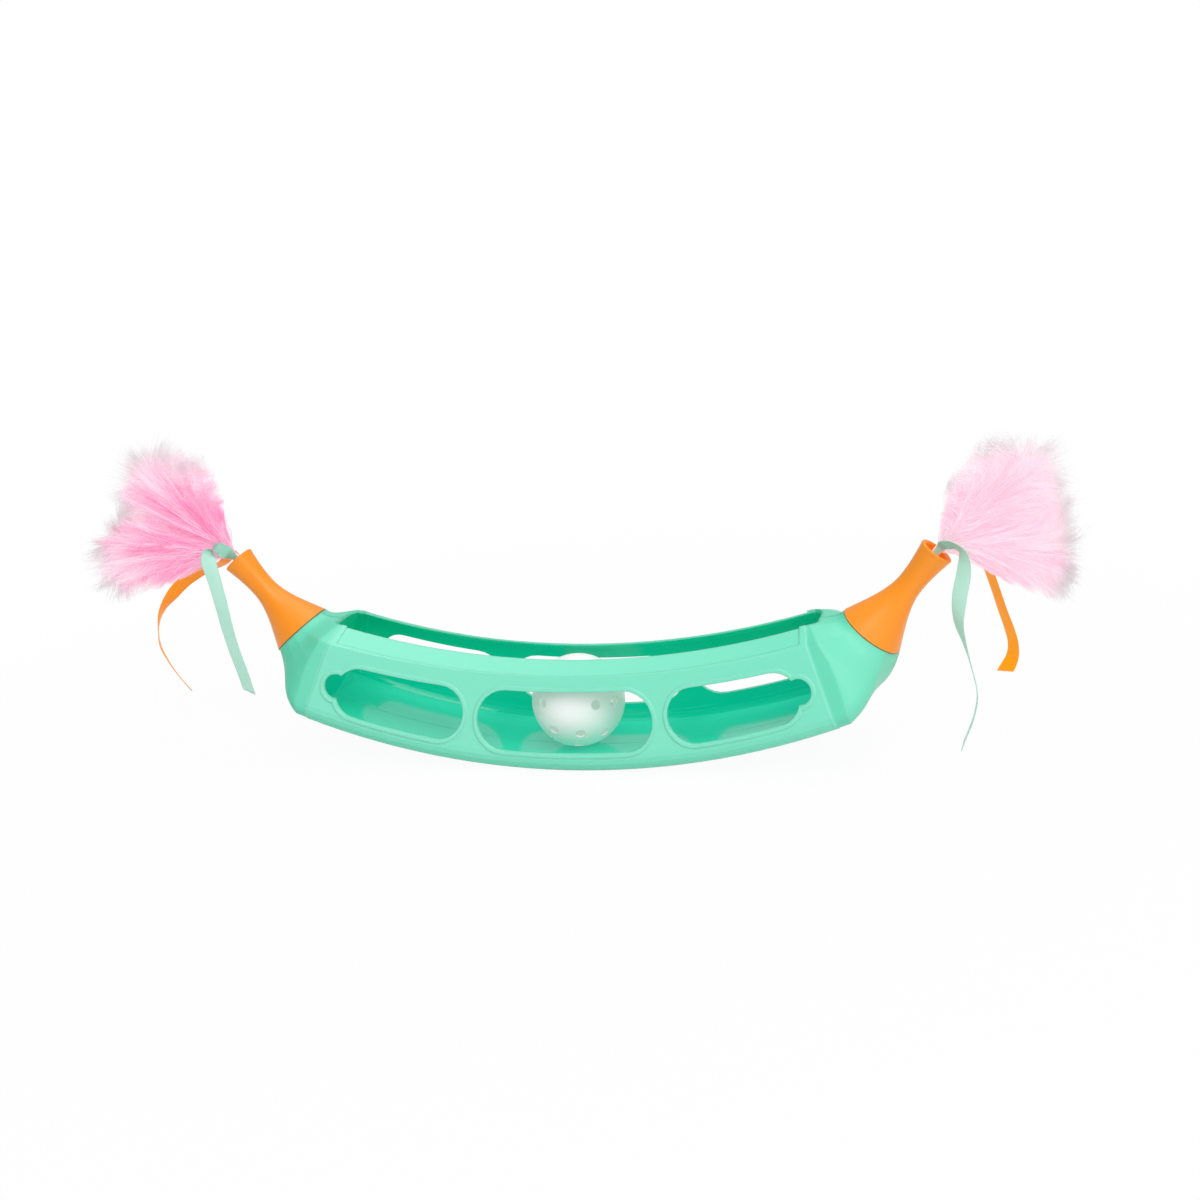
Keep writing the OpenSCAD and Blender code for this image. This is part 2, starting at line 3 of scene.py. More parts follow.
import bpy
import numpy as np
from mathutils import Matrix


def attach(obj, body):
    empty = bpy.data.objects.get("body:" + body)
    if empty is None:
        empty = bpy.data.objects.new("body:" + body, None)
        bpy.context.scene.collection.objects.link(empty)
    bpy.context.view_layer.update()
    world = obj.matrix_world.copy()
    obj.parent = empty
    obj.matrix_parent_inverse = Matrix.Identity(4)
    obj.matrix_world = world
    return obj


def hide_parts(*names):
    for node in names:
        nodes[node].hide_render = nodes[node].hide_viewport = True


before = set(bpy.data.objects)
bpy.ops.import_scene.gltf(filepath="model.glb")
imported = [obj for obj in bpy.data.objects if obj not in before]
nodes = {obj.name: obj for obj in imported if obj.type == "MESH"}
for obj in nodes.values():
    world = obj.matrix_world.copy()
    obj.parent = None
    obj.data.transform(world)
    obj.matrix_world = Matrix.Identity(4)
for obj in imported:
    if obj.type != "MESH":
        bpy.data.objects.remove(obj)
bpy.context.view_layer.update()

scene = bpy.context.scene

# Camera, floor and studio light. The camera stands at the right front, 16 degrees above the toy,
# turned 5 degrees about its own line of sight. The floor is white card with a faint soft shadow.
FORWARD = np.array([-0.279, 0.9194, -0.2771])
RIGHT = np.array([0.9603, 0.2661, -0.0841])
RIGHT = RIGHT - FORWARD * (RIGHT @ FORWARD) / (FORWARD @ FORWARD)
EYE = (0.1977, -0.6071, 0.2491)
SENSOR = 36.0
FOCAL_PIXELS = 1574.03
PICTURE_PIXELS = 1200
ROOM = 6.0


def turned_camera(eye, forward, right):
    """World matrix of a camera at eye: columns are right, up (right x forward turned upright), and
    the line of sight backwards."""
    forward = forward / np.linalg.norm(forward)
    right = right / np.linalg.norm(right)
    up = np.cross(right, forward)
    m = np.eye(4)
    m[:3, 0], m[:3, 1], m[:3, 2], m[:3, 3] = right, up, -forward, eye
    return Matrix(m.tolist())


lens = bpy.data.cameras.new("camera")
lens.sensor_width = SENSOR
lens.lens = SENSOR * FOCAL_PIXELS / PICTURE_PIXELS
lens.clip_start = 0.01
camera = bpy.data.objects.new("camera", lens)
camera.matrix_world = turned_camera(EYE, FORWARD, RIGHT)
scene.collection.objects.link(camera)
scene.camera = camera
scene.view_settings.view_transform = "Standard"


class Wire:
    """A node's output or a plain number. Operators on it add Math nodes."""

    def __init__(self, tree, link):
        self.tree, self.link = tree, link

    def _math(self, operation, *others, swap=False):
        sides = [self, *others]
        if swap:
            sides[0], sides[1] = sides[1], sides[0]
        return self.tree.node("ShaderNodeMath", {"operation": operation}, sides)

    def __add__(self, o): return self._math("ADD", o)
    def __radd__(self, o): return self._math("ADD", o)
    def __sub__(self, o): return self._math("SUBTRACT", o)
    def __rsub__(self, o): return self._math("SUBTRACT", o, swap=True)
    def __mul__(self, o): return self._math("MULTIPLY", o)
    def __rmul__(self, o): return self._math("MULTIPLY", o)
    def __truediv__(self, o): return self._math("DIVIDE", o)
    def __neg__(self): return self._math("MULTIPLY", -1.0)
    def __lt__(self, o): return self._math("LESS_THAN", o)
    def max(self, o): return self._math("MAXIMUM", o)
    def abs(self): return self._math("ABSOLUTE")
    def sqrt(self): return self._math("SQRT")
    def sin(self): return self._math("SINE")

    def step(self, low, high):
        """0 below low, 1 above high, smooth in between."""
        return self.tree.node("ShaderNodeMapRange", {"interpolation_type": "SMOOTHSTEP"},
                              [self, low, high, 0.0, 1.0])


class Finish:
    """A material whose nodes are added by one method."""

    def __init__(self, name):
        self.material = bpy.data.materials.new(name)
        self.material.use_nodes = True
        self.tree = self.material.node_tree
        self.shader = self.tree.nodes["Principled BSDF"]
        self.output = self.tree.nodes["Material Output"]

    def node(self, kind, settings, inputs, out=0):
        """Adds a node, sets its settings, then fills its sockets with values or links."""
        made = self.tree.nodes.new(kind)
        for key, value in settings.items():
            setattr(made, key, value)
        pairs = inputs.items() if isinstance(inputs, dict) else enumerate(inputs)
        for key, value in pairs:
            if isinstance(value, Wire):
                self.tree.links.new(value.link, made.inputs[key])
            elif value is not None:
                made.inputs[key].default_value = value
        return Wire(self, made.outputs[out])

    def place(self):
        """The point's place on the object, in metres, as x, y and z."""
        at = self.node("ShaderNodeTexCoord", {}, [], out="Object")
        return at, [self.node("ShaderNodeSeparateXYZ", {}, [at], out=k) for k in range(3)]

    def mix(self, share, a, b):
        """Colour a where share is 0, b where it is 1."""
        a, b = ((*c, 1.0) if isinstance(c, tuple) else c for c in (a, b))
        return self.node("ShaderNodeMix", {"data_type": "RGBA"}, {0: share, 6: a, 7: b}, out=2)

    def noise(self, at, scale, detail):
        return self.node("ShaderNodeTexNoise", {}, {"Vector": at, "Scale": scale, "Detail": detail,
                                                    "Roughness": 0.5})

    def bump(self, height, distance, strength=1.0, normal=None):
        """Raises the surface by height times distance, on top of normal where one is given."""
        return self.node("ShaderNodeBump", {}, {"Strength": strength, "Distance": distance,
                                                "Height": height, "Normal": normal})

    def set(self, **sockets):
        """Sets the main shader's sockets, spaces in their names written as underscores."""
        for name, value in sockets.items():
            socket = self.shader.inputs[name.replace("_", " ")]
            if isinstance(value, Wire):
                self.tree.links.new(value.link, socket)
            elif isinstance(value, tuple) and len(value) == 3:
                socket.default_value = (*value, 1.0)
            else:
                socket.default_value = value
        return self.material


def srgb(r, g, b):
    """Linear colour of an sRGB colour given from 0 to 255."""
    return tuple(c / 255 / 12.92 if c <= 10 else ((c / 255 + 0.055) / 1.055) ** 2.4
                 for c in (r, g, b))


floor_finish = Finish("white_card")
floor_finish.set(Base_Color=(0.8, 0.8, 0.8), Roughness=0.9, Specular_IOR_Level=0.1)
rays = floor_finish.tree.nodes.new("ShaderNodeLightPath")
seen = Wire(floor_finish, rays.outputs["Is Camera Ray"]).max(
    Wire(floor_finish, rays.outputs["Is Glossy Ray"])).max(
    Wire(floor_finish, rays.outputs["Is Transmission Ray"]))
glow = floor_finish.tree.nodes.new("ShaderNodeEmission")
glow.inputs["Color"].default_value = (1, 1, 1, 1)
glow.inputs["Strength"].default_value = 1.0
blend = floor_finish.tree.nodes.new("ShaderNodeMixShader")
_, (floor_x, floor_y, _) = floor_finish.place()
away = (floor_x * floor_x + floor_y * floor_y).sqrt().step(0.15, 0.5)
floor_finish.tree.links.new((seen * (away * 0.05 + 0.95)).link, blend.inputs[0])
floor_finish.tree.links.new(floor_finish.shader.outputs[0], blend.inputs[1])
floor_finish.tree.links.new(glow.outputs[0], blend.inputs[2])
floor_finish.tree.links.new(blend.outputs[0], floor_finish.output.inputs[0])
card = bpy.data.meshes.new("floor")
card.from_pydata([(-ROOM, -ROOM, 0), (ROOM, -ROOM, 0), (ROOM, ROOM, 0), (-ROOM, ROOM, 0)], [],
                 [(0, 1, 2, 3)])
card.materials.append(floor_finish.material)
floor = bpy.data.objects.new("floor", card)
scene.collection.objects.link(floor)

world = bpy.data.worlds.new("studio")
scene.world = world
world.use_nodes = True
sky = world.node_tree
lit = sky.nodes["Background"]
lit.inputs["Color"].default_value = (1, 1, 1, 1)
lit.inputs["Strength"].default_value = 0.5
backdrop = sky.nodes.new("ShaderNodeBackground")
backdrop.inputs["Color"].default_value = (1, 1, 1, 1)
backdrop.inputs["Strength"].default_value = 1.0
path = sky.nodes.new("ShaderNodeLightPath")
either = sky.nodes.new("ShaderNodeMixShader")
sky.links.new(path.outputs["Is Camera Ray"], either.inputs[0])
sky.links.new(lit.outputs[0], either.inputs[1])
sky.links.new(backdrop.outputs[0], either.inputs[2])
sky.links.new(either.outputs[0], sky.nodes["World Output"].inputs[0])


def softbox(name, at, size, watts, aim=(0.0, 0.0, 0.04)):
    """A square lamp at a place, facing a point on the toy."""
    lamp = bpy.data.lights.new(name, "AREA")
    lamp.size, lamp.energy = size, watts
    turned = bpy.data.objects.new(name, lamp)
    way = np.array(aim) - np.array(at)
    side = np.cross(way, (0, 0, 1))
    turned.matrix_world = turned_camera(at, way, side)
    scene.collection.objects.link(turned)


softbox("key", (0.35, -0.7, 1.1), 0.9, 7.0)
softbox("fill", (0.9, -0.8, 0.6), 0.8, 3.0)
softbox("top", (0.1, 0.35, 1.2), 0.9, 3.5)

# Ribbons: four strips of double-faced satin, 6.5 mm wide, one mint and one orange at each end. They
# leave the knot gathered and hang twisted. A route runs within 2.4 mm of its solid's and gives
# places from the mouth's middle, outwards, back and up in mm, and the flat side's turn in degrees.
COLLAR = np.array([0.125967, 0.0, 0.052657])
TILT_DEG = 51.2
TILT = math.radians(TILT_DEG)
OUT = np.array([math.cos(TILT), 0.0, math.sin(TILT)])
UP = np.array([-math.sin(TILT), 0.0, math.cos(TILT)])
CAP_LEN = 0.0427
WAIST_AT = 0.026
KNOT_AT = 0.0185
MOUTH = COLLAR + CAP_LEN * OUT
KNOT = COLLAR + KNOT_AT * OUT
KNOT_R = 0.00403
KNOT_TOP = 0.6
RIBBON_W = 0.0065
RIBBON_HALF_T = 0.00021
RIBBON_OFF = 0.00125
GATHERED = 0.38
CUT_LEN = 0.009
ROUTES = {
    "left_mint_ribbon": (-1, -1, [
        [3.2, -3.9, 4.2, 145], [6.2, -6, 6.3, 150], [8.9, -8, 5, 214], [9.3, -9.2, 0.6, 245],
        [7.9, -9.5, -6.8, 262], [6.4, -9.5, -17.8, 270], [5.4, -9, -29.8, 277],
        [3.8, -8.5, -40.8, 281], [1.8, -8, -50.8, 282], [-0.4, -8, -61.6, 285]]),
    "left_orange_ribbon": (-1, 1, [
        [4.9, 4.3, 1.5, 38], [11, 6, -3.2, 25], [17, 7.2, -5.4, 30], [24.5, 7.4, -8, 42],
        [33, 6.8, -12.4, 52], [39.5, 6.2, -18, 42], [46.5, 6, -26, 2], [50, 6, -34.5, -28],
        [50.5, 6, -43, -29], [47.5, 6, -51, -33], [43, 5.5, -58, -36], [37.5, 5, -64.5, -36]]),
    "right_mint_ribbon": (1, -1, [
        [3.6, -4.4, 3.2, 55], [7.6, -6, 2.9, 32], [10.4, -7.5, -0.4, 40], [10.3, -8, -7.4, 60],
        [8.5, -8, -17, 64], [8, -8, -27, 40], [10, -7.5, -36, 19], [12.5, -7, -46, 8],
        [14.5, -6.5, -57, 5], [13, -6, -67, 1], [9.5, -6, -76.5, -1], [8, -6, -80.6, 0]]),
    "right_orange_ribbon": (1, 1, [
        [5, 3.4, 2.4, 48], [10.5, 6.6, 1.8, 24], [15, 8.6, -2.4, 26], [18.5, 10, -10, 36],
        [21.5, 10, -19, 37], [24, 10, -27.4, 38], [26.5, 10, -35, 41], [28, 9.5, -41.4, 42],
        [27.5, 9.5, -47.4, 47], [24, 8.8, -54.4, 58]]),
}


def through(points, per_span):
    """Smooth curve through the rows of points: a Catmull-Rom cubic on each span, whose slopes at a
    point are half the step between its neighbours."""
    p = np.asarray(points, float)
    p = np.vstack([2 * p[0] - p[1], p, 2 * p[-1] - p[-2]])
    t = np.linspace(0, 1, per_span, endpoint=False)[:, None, None]
    a, b, c, d = (p[i:len(p) - 3 + i] for i in range(4))
    curve = 0.5 * (2 * b + (c - a) * t + (2 * a - 5 * b + 4 * c - d) * t ** 2
                   + (3 * b - a - 3 * c + d) * t ** 3)
    return np.vstack([curve.transpose(1, 0, 2).reshape(-1, p.shape[1]), p[-2]])


def unit(v):
    return v / np.linalg.norm(v, axis=-1, keepdims=True)


def tube_quads(rows, cols):
    """Quads of a grid of points whose rows are closed rings: each row joins the next."""
    r, c = np.meshgrid(np.arange(rows - 1), np.arange(cols), indexing="ij")
    r2, c2 = r + 1, (c + 1) % cols
    return np.stack([r * cols + c, r * cols + c2, r2 * cols + c2, r2 * cols + c],
                    axis=-1).reshape(-1, 4)


def tube_mesh(name, points, caps=False, uv=None):
    """Mesh over a grid of points (rows, columns, 3) whose rows are closed rings. caps fill the two
    end rings."""
    rows, cols = points.shape[:2]
    faces = tube_quads(rows, cols).tolist()
    if caps:
        faces.append(list(range(cols))[::-1])
        faces.append([(rows - 1) * cols + k for k in range(cols)])
    mesh = bpy.data.meshes.new(name)
    mesh.from_pydata(points.reshape(-1, 3).tolist(), [], faces)
    if uv is not None:
        layer = mesh.uv_layers.new(name="run")
        corner = np.zeros(len(mesh.loops), np.int32)
        mesh.loops.foreach_get("vertex_index", corner)
        layer.data.foreach_set("uv", uv.reshape(-1, 2)[corner].ravel())
    mesh.shade_smooth()
    return mesh


def piece(name, mesh, finish, body, *stands_for):
    """Puts a finished mesh in the scene, on a body, in place of its solids."""
    made = bpy.data.objects.new(name, mesh)
    mesh.materials.append(finish)
    scene.collection.objects.link(made)
    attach(made, body)
    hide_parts(*stands_for)
    return made


def strip(side, back, route):
    """Ribbon surface. The line runs from the knot along the cap and then through the route; across
    it lies the flat side, turned about the line by the route's angle. The section is a thin oval
    with full edges: u = sign(cos a) |cos a|^0.35 over the width, v = sin a over the thickness. The
    last CUT_LEN is cut slanted. Returns the points, their own coordinates, the line, its length."""
    inside = [KNOT + (KNOT_R * KNOT_TOP + 0.0001) * OUT, COLLAR + WAIST_AT * OUT, MOUTH]
    off = np.array([0, back * RIBBON_OFF, 0])
    steps = [[*(p + off), 90.0, GATHERED] for p in inside]
    steps += [[*(MOUTH + np.array(p[:3]) / 1000), p[3], 1.0] for p in route]
    line = through(steps, 12)
    at, turn, wide = line[:, :3], np.radians(line[:, 3:4]), line[:, 4:5]
    run = unit(np.gradient(at, axis=0))
    across = unit(np.cross([0.0, 1.0, 0.0], run))
    flat = np.cos(turn) * np.cross(run, across) + np.sin(turn) * across
    face = np.cross(run, flat)
    half = RIBBON_W / 2 * np.clip(wide, GATHERED, 1.0)
    a = np.linspace(0, 2 * np.pi, 20, endpoint=False)
    u = np.sign(np.cos(a)) * np.abs(np.cos(a)) ** 0.35
    v = RIBBON_HALF_T * np.sin(a)
    length = np.concatenate([[0], np.cumsum(np.linalg.norm(np.diff(at, axis=0), axis=1))])
    slant = np.clip((length - length[-1] + CUT_LEN) / CUT_LEN, 0, 1)[:, None, None] ** 1.5
    points = (at[:, None] + flat[:, None] * half[:, None] * u[None, :, None]
              + face[:, None] * v[None, :, None]
              - run[:, None] * half[:, None] * 0.5 * slant * (1 - back * u[None, :, None]))
    uv = np.stack(np.broadcast_arrays(length[:, None], (half * u[None])), axis=-1)
    points[..., 0] *= side
    at = at * [side, 1, 1]
    if side < 0:
        points, uv = points[:, ::-1], uv[:, ::-1]
    return points, uv, at, length[-1]


RIB_PITCH = 0.00035
FOLD_AT = (0.0355, 0.0335)


def satin(name, colour, deep, shaded, glow):
    """Satin: long floats give a soft streak along the ribbon, fine ribs cross it every RIB_PITCH,
    and a woven edge 0.4 mm wide is a little duller. Painted shade: the side turned down is darker,
    and so are the left ribbons from the knot to FOLD_AT along them, where the mint one folds over.
    glow is a painted glow: an emission of the ribbon's own tint, though it is no lamp."""
    f = Finish(name)
    uv = f.node("ShaderNodeUVMap", {"uv_map": "run"}, [])
    along, across = (f.node("ShaderNodeSeparateXYZ", {}, [uv], out=k) for k in (0, 1))
    ribs = (along * (2 * math.pi / RIB_PITCH)).sin() * 0.5 + 0.5
    drawn = f.node("ShaderNodeMapping", {}, {"Vector": uv, "Scale": (60, 5200, 1)})
    floats = f.noise(drawn, 1.0, 3)
    edge = across.abs().step(RIBBON_W / 2 - 0.0006, RIBBON_W / 2 - 0.0002)
    patches = f.node("ShaderNodeMapping", {}, {"Vector": uv, "Scale": (70, 150, 1)})
    shade = f.noise(patches, 1.0, 2)
    tint = f.mix(floats * 0.35 + shade * 0.45, deep, colour)
    height = ribs * 0.25 + floats * 0.6 + edge * 0.8
    turned = f.node("ShaderNodeTexCoord", {}, [], out="Normal")
    # Painted shade: faces turned down, and the left ribbons inside the mint one's fold, darken
    # towards the shaded colour.
    turned_down_shade = (-f.node("ShaderNodeSeparateXYZ", {}, [turned], out=2)).step(0.15, 0.8)
    _, (x, _, _) = f.place()
    fold_shade = along.step(*FOLD_AT) * (x < 0.0)
    tint = f.mix((turned_down_shade * 0.5).max(fold_shade * 0.55), tint, shaded)
    # The emission is a painted glow that lifts the ribbon's tint.
    return f.set(Base_Color=f.mix(edge * 0.5, tint, deep), Roughness=edge * 0.2 + 0.34,
                 Normal=f.bump(height, 0.00006), Anisotropic=0.6, Specular_IOR_Level=0.35,
                 Emission_Color=tint, Emission_Strength=glow)


# For each satin, the third colour is its painted shade and the last number its painted glow.
satins = {"mint": satin("mint_satin", srgb(206, 241, 228), srgb(164, 220, 200),
                       srgb(84, 168, 142), 0.11),
          "orange": satin("orange_satin", srgb(255, 170, 0), srgb(250, 140, 0),
                         srgb(228, 110, 0), 0.28)}
for name, (side, back, route) in ROUTES.items():
    points, uv, line, long = strip(side, back, route)
    colour = name.split("_")[1]
    ribbon = piece(name.replace("_ribbon", "_satin"),
                   tube_mesh(name, points, caps=True, uv=uv), satins[colour],
                   name.split("_")[0] + "_bundle", name)
    colour + "_satin"


# Knots: each bundle is tied by thread wound into a ball that sits in the cap's throat. The ball's
# top is flat where the quills and ribbons start. The turns of thread cross in two directions.
def wound_knot(side):
    """Ball of radius KNOT_R (0.965 + 0.03 ridges), whose ridges are the greater |sin| of two
    slanted counts round the axis, cut flat at KNOT_TOP KNOT_R towards the mouth."""
    lat, lon = np.meshgrid(np.linspace(-np.pi / 2, np.pi / 2, 61), np.arange(96) * np.pi / 48,
                           indexing="ij")
    ridges = np.maximum(np.abs(np.sin(9 * lat + 2 * lon)), np.abs(np.sin(9 * lat - 3 * lon)))
    r = KNOT_R * (0.965 + 0.03 * ridges)
    along = np.minimum(r * np.sin(lat), KNOT_TOP * KNOT_R)
    points = (KNOT + along[..., None] * OUT + (r * np.cos(lat) * np.cos(lon))[..., None] * UP
              + (r * np.cos(lat) * np.sin(lon))[..., None] * np.array([0.0, -1.0, 0.0]))
    points[..., 0] *= side
    return points if side > 0 else points[:, ::-1]


thread = Finish("pink_thread")
thread.set(Base_Color=srgb(240, 150, 185), Roughness=0.8, Sheen_Weight=0.3)
for word, side in (("left", -1), ("right", 1)):
    knot = piece(word + "_thread_ball", tube_mesh(word + "_thread_ball", wound_knot(side)),
                 thread.material, word + "_bundle", word + "_knot")

# Plumes: four marabou plumes, two at each end. Each is a shaft from the knot with thousands of fine
# tapering barbs that leave it towards the tip and fan out to the plume's own outline. The outlines
# are distances from the middle of the mouth, in millimetres, at angles above outwards in degrees.
BARBS = 12000
LOCKS = 150
BARB_ROWS = 5
HALF_THICK = 0.011
QUILL_UP = 0.00093
ROD_ROWS = 26
ROD_SIDES = 8
EDGES = {
    "left": [[-17, 64], [-10, 69], [-2, 73], [11, 68], [20, 60], [24, 58], [32, 65], [41, 67.5],
             [50, 66], [56, 63], [65, 55], [72, 47], [79, 42]],
    "right": [[-25, 51], [-18, 51.5], [-10, 52], [3.5, 52], [19, 53], [27, 55], [35.5, 59],
              [44.5, 60], [52, 52.5], [63, 48.5], [70, 41.6], [77, 32], [87, 18]],
}
# Side, the fan's lowest and highest angle, upper or lower quill, the shaft's own angle, its length
PLUMES = {
    "left_upper_plume": (-1, 22, 80, 1, 43, 66), "left_lower_plume": (-1, -18, 27, -1, 4, 72),
    "right_upper_plume": (1, 17, 84, 1, 42, 58), "right_lower_plume": (1, -25, 24, -1, -10, 54),
}


def barbs(name, seed):
    """Barbs as narrow strips of four quads. A barb is a quadratic curve from a point of the shaft,
    through a point further along it, to an end at a share k of the plume's outline. The fan's half
    thickness is HALF_THICK at its middle, times the root of 1 - 0.8 spread^2 towards its sides."""
    side, low, high, _, _, _ = PLUMES[name]
    dice = np.random.default_rng(seed)
    n = BARBS
    edge = np.array(EDGES[name.split("_")[0]])
    lock = dice.integers(0, LOCKS, n)
    loose = dice.uniform(0, 1, n) < 0.3
    locked = np.linspace(-1, 1, LOCKS)[lock] + 0.035 * dice.normal(size=n)
    spread = np.where(loose, dice.uniform(-1, 1, n), np.clip(locked, -1, 1))
    angle = (low + high) / 2 + (high - low) / 2 * spread
    reach = np.interp(angle, edge[:, 0], edge[:, 1]) / 1000
    lock_k = 1.02 - 0.6 * dice.uniform(0, 1, LOCKS) ** 1.3
    k = np.where(loose, 1.0 - 0.62 * dice.uniform(0, 1, n) ** 1.5, lock_k[lock])
    k = k * (1 + 0.035 * dice.normal(size=n))
    thick = HALF_THICK * np.sqrt(np.clip(1 - 0.8 * spread ** 2, 0, 1)) * np.clip(k * 1.2, 0, 1)
    lean = np.where(loose, dice.uniform(-1, 1, n), dice.uniform(-1, 1, LOCKS)[lock]
                    + 0.09 * dice.normal(size=n))
    off = thick * np.sin(np.clip(lean, -1, 1) * np.pi / 2)
    tip = np.stack([np.cos(np.radians(angle)), np.zeros(n), np.sin(np.radians(angle))], axis=1)
    end = MOUTH + tip * (reach * k)[:, None] + np.array([0, 1, 0]) * off[:, None]
    part = np.where(loose, dice.uniform(0.1, 1.0, n), dice.uniform(0.1, 1.05, LOCKS)[lock]
                    + 0.05 * dice.normal(size=n))
    a = np.clip(k * part, 0.0, 0.78) * 0.85
    root = shaft(name, a)
    past = shaft(name, a + 0.16 * k)
    t = np.array([0, 0.3, 0.58, 0.82, 1.0])[None, :, None]
    curve = (root[:, None] * (1 - t) ** 2 + 2 * past[:, None] * t * (1 - t) + end[:, None] * t ** 2)
    wave = dice.normal(size=(n, 1, 3)) * 0.0011
    curve = curve + wave * np.sin(np.pi * t)
    run = unit(np.gradient(curve, axis=1))
    across = unit(np.cross(run, dice.normal(size=(n, 1, 3))))
    half = ((dice.uniform(0.00010, 0.00021, n) * np.where(k > 0.94, 0.65, 1.0))[:, None, None]
            * np.array([1.0, 1.0, 0.85, 0.55, 0.12])[None, :, None])
    strips = np.stack([curve - across * half, curve + across * half], axis=2)
    strips[..., 0] *= side
    tone = np.where(loose, dice.uniform(0, 1, n), dice.uniform(0, 1, LOCKS)[lock])
    tone = np.clip(tone + 0.15 * dice.normal(size=n), 0, 1)
    a, k, t = a[:, None, None], k[:, None, None], t[..., 0][:, :, None]
    shade = np.stack(np.broadcast_arrays(a * (1 - t) + k * t, tone[:, None, None]), axis=-1)
    return strips, np.broadcast_to(shade, (n, BARB_ROWS, 2, 2))


def shaft(name, a):
    """Points on the plume's shaft at shares a of its length: from the mouth it bends from the cap's
    tilt to the plume's own direction within the first tenth."""
    _, _, _, rise, lead, long = PLUMES[name]
    s = np.linspace(0, 1, 101)
    way = np.radians(lead + (TILT_DEG - lead) * (1 - s) ** 9)
    step = np.stack([np.cos(way), np.zeros(101), np.sin(way)], axis=1) * long / 1000 / 100
    line = MOUTH + rise * QUILL_UP * UP + np.cumsum(step, axis=0) - step[0]
    return np.stack([np.interp(a, s, line[:, i]) for i in range(3)], axis=-1)


def plume_mesh(name, seed):
    """One mesh: the barbs, then the shaft as a tapering round rod from the knot to its tip."""
    strips, shade = barbs(name, seed)
    barb_points = len(strips) * BARB_ROWS * 2
    first = np.arange(0, barb_points, BARB_ROWS * 2)[:, None, None]
    quad = np.array([0, 1, 3, 2])[None, None] + (np.arange(BARB_ROWS - 1) * 2)[None, :, None]
    faces = (first + quad).reshape(-1, 4)
    side, _, _, rise, _, _ = PLUMES[name]
    gap = rise * QUILL_UP * UP
    rod_line = np.vstack([[KNOT + (KNOT_R * KNOT_TOP + 0.00005) * OUT + gap,
                           KNOT + 0.013 * OUT + gap],
                          shaft(name, np.linspace(0, 0.8, ROD_ROWS - 2))])
    run = unit(np.gradient(rod_line, axis=0))
    up = np.cross(run, [0.0, 1.0, 0.0])
    ring = np.arange(ROD_SIDES) * np.pi / 4
    thin = np.interp(np.arange(ROD_ROWS), [0, 2, ROD_ROWS - 1],
                     [0.00075, 0.0007, 0.0002])[:, None, None]
    rod = (rod_line[:, None] + thin * (np.cos(ring)[None, :, None] * up[:, None]
           + np.sin(ring)[None, :, None] * np.array([0.0, 1.0, 0.0])))
    rod[..., 0] *= side
    rod_faces = tube_quads(ROD_ROWS, ROD_SIDES)[:, ::-side] + barb_points
    points = np.vstack([strips.reshape(-1, 3), rod.reshape(-1, 3)])
    faces = np.vstack([faces, rod_faces])
    mesh = bpy.data.meshes.new(name)
    mesh.from_pydata(points.tolist(), [], faces.tolist())
    run_uv = np.vstack([shade.reshape(-1, 2), np.full((ROD_ROWS * ROD_SIDES, 2), [0.3, 1.2])])
    layer = mesh.uv_layers.new(name="run")
    layer.data.foreach_set("uv", run_uv[faces.ravel()].ravel())
    mesh.shade_smooth()
    return mesh


def down():
    """Dyed down: deepest pink in the middle of the plume, pale beyond it and light grey at the
    outline, with some locks darker than others. The plumes are also paler at the right end. The
    emission is a painted glow standing in for light through the fine barbs, less at the outline.
    The u of the run is the share of the way to the outline, the v the tone."""
    f = Finish("pink_feather")
    uv = f.node("ShaderNodeUVMap", {"uv_map": "run"}, [])
    out, tone = (f.node("ShaderNodeSeparateXYZ", {}, [uv], out=k) for k in (0, 1))
    core = (out.step(0.0, 0.45) * 0.65 + 0.35) * (1.0 - out.step(0.55, 0.85))
    fade = tone.step(0.05, 0.7) * 0.5 + 0.5 - core * 0.42
    tint = f.mix(fade, srgb(252, 166, 211), srgb(253, 236, 243))
    tint = f.mix(tone.step(0.06, 0.0) * 0.5, tint, srgb(240, 122, 172))
    _, (x, _, _) = f.place()
    tint = f.mix(x.step(-0.05, 0.05) * 0.72, tint, srgb(254, 238, 244))
    fringe = out.step(0.86, 1.0)
    tint = f.mix(fringe * 0.9, tint, srgb(231, 228, 229))
    # Emission: a painted glow for light through the barbs, weaker on the grey outline.
    return f.set(Base_Color=tint, Roughness=0.9, Specular_IOR_Level=0.1,
                 Emission_Color=f.mix(fringe * 0.45, tint, (0.0, 0.0, 0.0)), Emission_Strength=0.16)


feather = down()
for seed, name in enumerate(PLUMES):
    plume = piece(name.replace("plume", "marabou"), plume_mesh(name, seed), feather,
                  name.split("_")[0] + "_bundle", name)

# Shells, caps and ball: the solids themselves, with moulded finishes that carry painted light and
# shade in their colours. A face of the track is inside when it looks at the line that the ball
# runs on, an arc about the middle of the track's bend.
BEND = 0.3257
LINE_R = 0.3042
PANEL_DEG = 20.7
BALL = np.array([0.0, 0.0, 0.0215])


